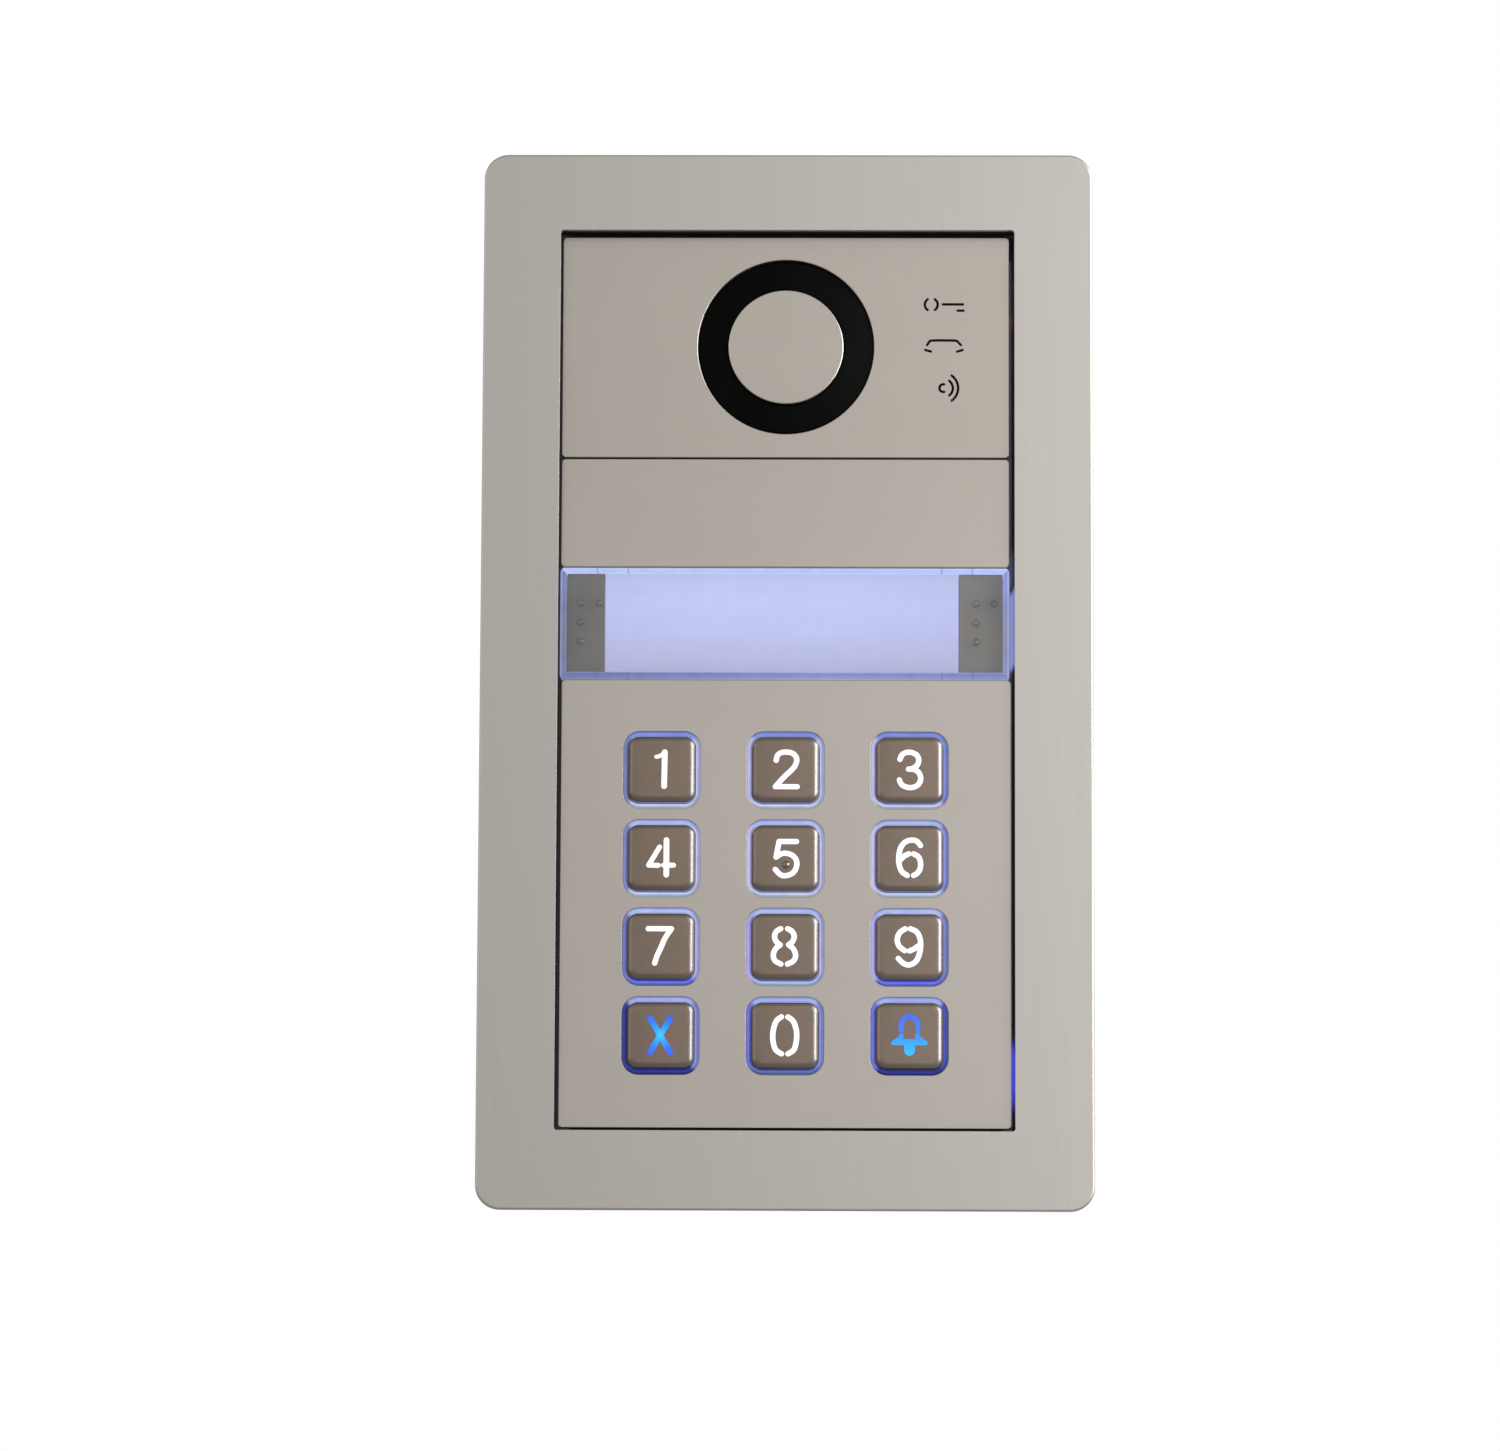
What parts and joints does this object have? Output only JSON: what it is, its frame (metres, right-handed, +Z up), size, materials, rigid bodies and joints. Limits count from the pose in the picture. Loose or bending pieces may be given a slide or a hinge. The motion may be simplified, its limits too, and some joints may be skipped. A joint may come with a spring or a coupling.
{
  "type": "flush mounted door intercom panel",
  "caption": "Upright steel framed door intercom with a round speaker ring, a lit name plate call button and a backlit metal keypad, set in a flush wall box.",
  "frame": {"origin": "on the wall surface at the panel's centre, where the wall plane passes through the middle of the panel", "axes": "+Z up along the panel's height, +Y into the wall, +X to the right as seen from the front"},
  "size_m": [0.125, 0.048, 0.2164],
  "materials": {
    "frame_steel": "vertically brushed stainless steel, satin",
    "plate_metal": "fine matte warm beige grey metal",
    "key_steel": "brushed brownish stainless steel with rounded polished edges",
    "black_plastic": "black moulded plastic",
    "gloss_black": "glossy black plastic",
    "smoked_plastic": "smoked light window",
    "foam_gasket": "closed cell black foam",
    "box_plastic": "dark grey moulded plastic",
    "black_rubber": "black rubber",
    "zinc_steel": "zinc plated steel sheet",
    "circuit_board": "green solder mask",
    "terminal_plastic": "green terminal plastic",
    "ribbon_plastic": "grey ribbon cable",
    "clear_plastic": "clear polycarbonate",
    "lit_card": "blank name card lit from behind, pale lilac",
    "grey_plastic": "matte grey plastic",
    "lit_plastic": "translucent plastic lit blue lilac",
    "silicone": "translucent silicone",
    "legend_white": "opal plastic lit white",
    "legend_blue": "opal plastic lit blue"
  },
  "bodies": {
    "panel": {"audio_housing": "black_plastic", "audio_pcb": "circuit_board", "audio_plate": "plate_metal", "blank_plate": "plate_metal", "cable_grommet": "black_rubber", "call_switch_left": "black_plastic", "call_switch_right": "black_plastic", "centre_disc": "plate_metal", "chassis": "zinc_steel", "chassis_screw_1": "zinc_steel", "chassis_screw_2": "zinc_steel", "chassis_screw_3": "zinc_steel", "chassis_screw_4": "zinc_steel", "face_frame": "frame_steel", "flush_box": "box_plastic", "frame_liner": "black_plastic", "icon_window": "smoked_plastic", "keypad_housing": "black_plastic", "keypad_light_guide": "lit_plastic", "keypad_mat": "silicone", "keypad_pcb": "circuit_board", "keypad_plate": "plate_metal", "link_cable": "ribbon_plastic", "loudspeaker": "black_plastic", "microphone": "zinc_steel", "microphone_boot": "black_rubber", "ring_bezel": "gloss_black", "terminal_block": "terminal_plastic", "wall_gasket": "foam_gasket"},
    "key_1": {"key_1_cap": "key_steel", "key_1_core": "legend_white"},
    "key_2": {"key_2_cap": "key_steel", "key_2_core": "legend_white"},
    "key_3": {"key_3_cap": "key_steel", "key_3_core": "legend_white"},
    "key_4": {"key_4_cap": "key_steel", "key_4_core": "legend_white"},
    "key_5": {"key_5_cap": "key_steel", "key_5_core": "legend_white"},
    "key_6": {"key_6_cap": "key_steel", "key_6_core": "legend_white"},
    "key_7": {"key_7_cap": "key_steel", "key_7_core": "legend_white"},
    "key_8": {"key_8_cap": "key_steel", "key_8_core": "legend_white"},
    "key_9": {"key_9_cap": "key_steel", "key_9_core": "legend_white"},
    "key_cross": {"key_cross_cap": "key_steel", "key_cross_core": "legend_blue"},
    "key_0": {"key_0_cap": "key_steel", "key_0_core": "legend_white"},
    "key_bell": {"key_bell_cap": "key_steel", "key_bell_core": "legend_blue"},
    "call_button": {"call_button_cover": "clear_plastic", "name_card": "lit_card", "end_block_left": "grey_plastic", "end_block_right": "grey_plastic", "call_button_diffuser": "lit_plastic"}
  },
  "joints": [
    {"name": "key_1_press", "type": "slide", "parent": "panel", "child": "key_1", "axis": [0, 1, 0], "range_m": [0, 0.001], "stiffness_N_per_m": 900, "springref_m": -0.0008},
    {"name": "key_2_press", "type": "slide", "parent": "panel", "child": "key_2", "axis": [0, 1, 0], "range_m": [0, 0.001], "stiffness_N_per_m": 900, "springref_m": -0.0008},
    {"name": "key_3_press", "type": "slide", "parent": "panel", "child": "key_3", "axis": [0, 1, 0], "range_m": [0, 0.001], "stiffness_N_per_m": 900, "springref_m": -0.0008},
    {"name": "key_4_press", "type": "slide", "parent": "panel", "child": "key_4", "axis": [0, 1, 0], "range_m": [0, 0.001], "stiffness_N_per_m": 900, "springref_m": -0.0008},
    {"name": "key_5_press", "type": "slide", "parent": "panel", "child": "key_5", "axis": [0, 1, 0], "range_m": [0, 0.001], "stiffness_N_per_m": 900, "springref_m": -0.0008},
    {"name": "key_6_press", "type": "slide", "parent": "panel", "child": "key_6", "axis": [0, 1, 0], "range_m": [0, 0.001], "stiffness_N_per_m": 900, "springref_m": -0.0008},
    {"name": "key_7_press", "type": "slide", "parent": "panel", "child": "key_7", "axis": [0, 1, 0], "range_m": [0, 0.001], "stiffness_N_per_m": 900, "springref_m": -0.0008},
    {"name": "key_8_press", "type": "slide", "parent": "panel", "child": "key_8", "axis": [0, 1, 0], "range_m": [0, 0.001], "stiffness_N_per_m": 900, "springref_m": -0.0008},
    {"name": "key_9_press", "type": "slide", "parent": "panel", "child": "key_9", "axis": [0, 1, 0], "range_m": [0, 0.001], "stiffness_N_per_m": 900, "springref_m": -0.0008},
    {"name": "key_cross_press", "type": "slide", "parent": "panel", "child": "key_cross", "axis": [0, 1, 0], "range_m": [0, 0.001], "stiffness_N_per_m": 900, "springref_m": -0.0008},
    {"name": "key_0_press", "type": "slide", "parent": "panel", "child": "key_0", "axis": [0, 1, 0], "range_m": [0, 0.001], "stiffness_N_per_m": 900, "springref_m": -0.0008},
    {"name": "key_bell_press", "type": "slide", "parent": "panel", "child": "key_bell", "axis": [0, 1, 0], "range_m": [0, 0.001], "stiffness_N_per_m": 900, "springref_m": -0.0008},
    {"name": "call_button_press", "type": "slide", "parent": "panel", "child": "call_button", "axis": [0, 1, 0], "range_m": [0, 0.001], "stiffness_N_per_m": 1500, "springref_m": -0.0008}
  ]
}
